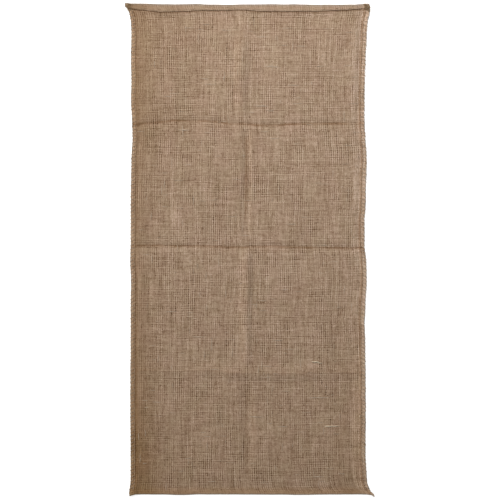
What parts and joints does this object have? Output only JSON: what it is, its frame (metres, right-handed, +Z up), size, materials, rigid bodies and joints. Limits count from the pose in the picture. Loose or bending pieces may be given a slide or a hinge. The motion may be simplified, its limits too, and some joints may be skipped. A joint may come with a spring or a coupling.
{
  "type": "jute sack",
  "caption": "Empty jute sack lying flat, folded at the bottom and sewn up both sides, with a hemmed open mouth.",
  "frame": {"origin": "on the surface that the sack lies on, under the middle of its outline", "axes": "+Y along the sack towards its mouth, +X across it to the right as seen from above with the mouth away, +Z up out of the front"},
  "size_m": [0.6823, 1.356, 0.0075],
  "materials": {
    "jute": "matt, coarse plain-woven natural jute"
  },
  "bodies": {
    "root": {"sack_cloth": "jute"}
  },
  "joints": []
}
